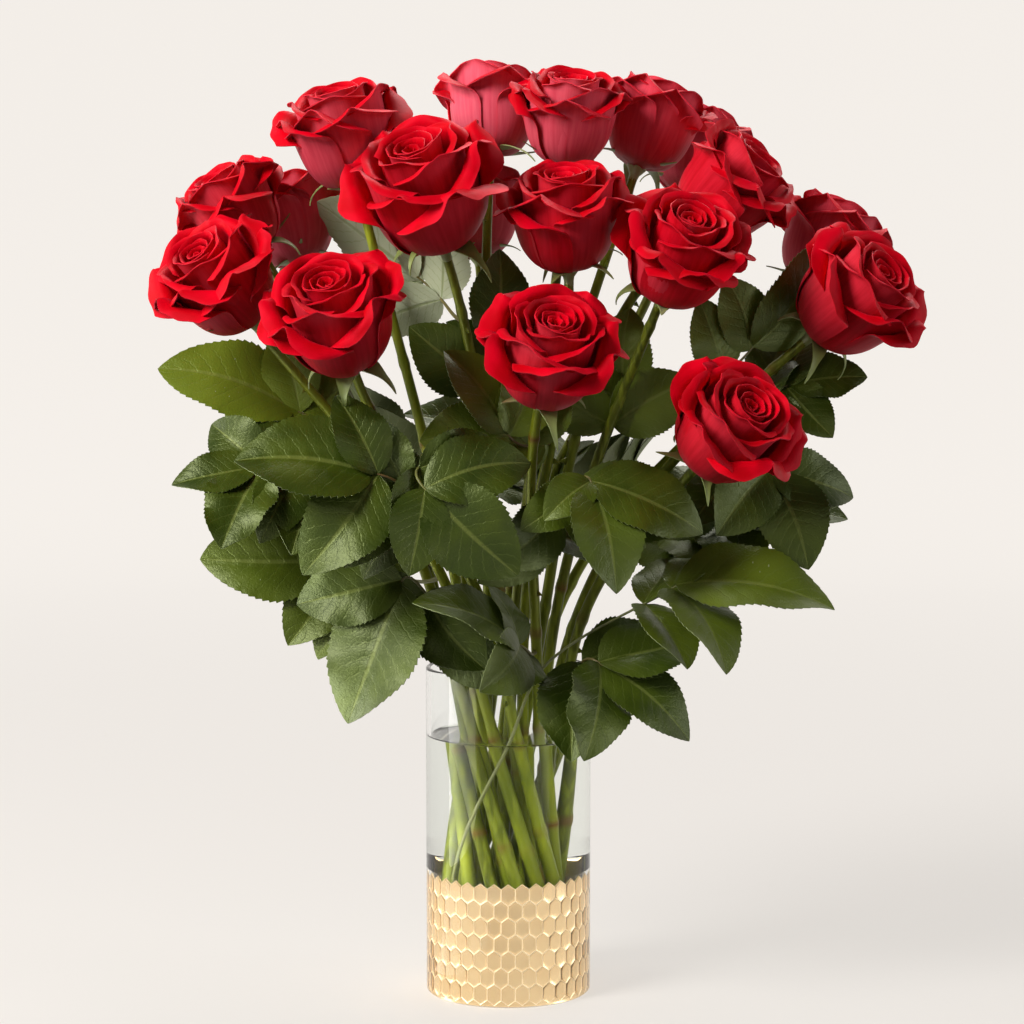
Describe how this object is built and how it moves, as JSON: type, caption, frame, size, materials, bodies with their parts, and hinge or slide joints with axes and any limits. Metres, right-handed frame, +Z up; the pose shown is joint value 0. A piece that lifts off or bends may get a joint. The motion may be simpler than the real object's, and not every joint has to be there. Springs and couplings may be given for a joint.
{
  "type": "roses in a vase",
  "caption": "Long-stemmed red roses with their leaves, standing in water in a clear glass cylinder vase with a honeycomb gold lining.",
  "frame": {"origin": "centre of the vase's flat foot, on the surface it stands on", "axes": "+Z up along the vase, -Y towards the bouquet's front, +X to the right seen from the front"},
  "size_m": [0.4692, 0.2926, 0.5786],
  "materials": {
    "clear_glass": "polished",
    "gold_plating": "polished",
    "water": "gloss",
    "green_stem": "satin",
    "red_petal": "matte",
    "green_leaf": "satin"
  },
  "bodies": {
    "root": {"vase": "clear_glass", "gold_lining": "gold_plating", "water": "water", "stem_01": "green_stem", "stem_02": "green_stem", "stem_03": "green_stem", "stem_04": "green_stem", "stem_05": "green_stem", "stem_06": "green_stem", "stem_07": "green_stem", "stem_08": "green_stem", "stem_09": "green_stem", "stem_10": "green_stem", "stem_11": "green_stem", "stem_12": "green_stem", "stem_13": "green_stem", "stem_14": "green_stem", "stem_15": "green_stem", "stem_16": "green_stem", "stem_17": "green_stem", "stem_18": "green_stem", "bloom_01": "red_petal", "bloom_02": "red_petal", "bloom_03": "red_petal", "bloom_04": "red_petal", "bloom_05": "red_petal", "bloom_06": "red_petal", "bloom_07": "red_petal", "bloom_08": "red_petal", "bloom_09": "red_petal", "bloom_10": "red_petal", "bloom_11": "red_petal", "bloom_12": "red_petal", "bloom_13": "red_petal", "bloom_14": "red_petal", "bloom_15": "red_petal", "bloom_16": "red_petal", "bloom_17": "red_petal", "bloom_18": "red_petal", "leaf_01": "green_leaf", "leaf_02": "green_leaf", "leaf_03": "green_leaf", "leaf_04": "green_leaf", "leaf_05": "green_leaf", "leaf_06": "green_leaf", "leaf_07": "green_leaf", "leaf_08": "green_leaf", "leaf_09": "green_leaf", "leaf_10": "green_leaf", "leaf_11": "green_leaf", "leaf_12": "green_leaf", "leaf_13": "green_leaf", "leaf_14": "green_leaf", "leaf_15": "green_leaf", "leaf_16": "green_leaf", "leaf_17": "green_leaf", "leaf_18": "green_leaf", "leaf_19": "green_leaf", "leaf_20": "green_leaf", "leaf_21": "green_leaf"}
  },
  "joints": []
}
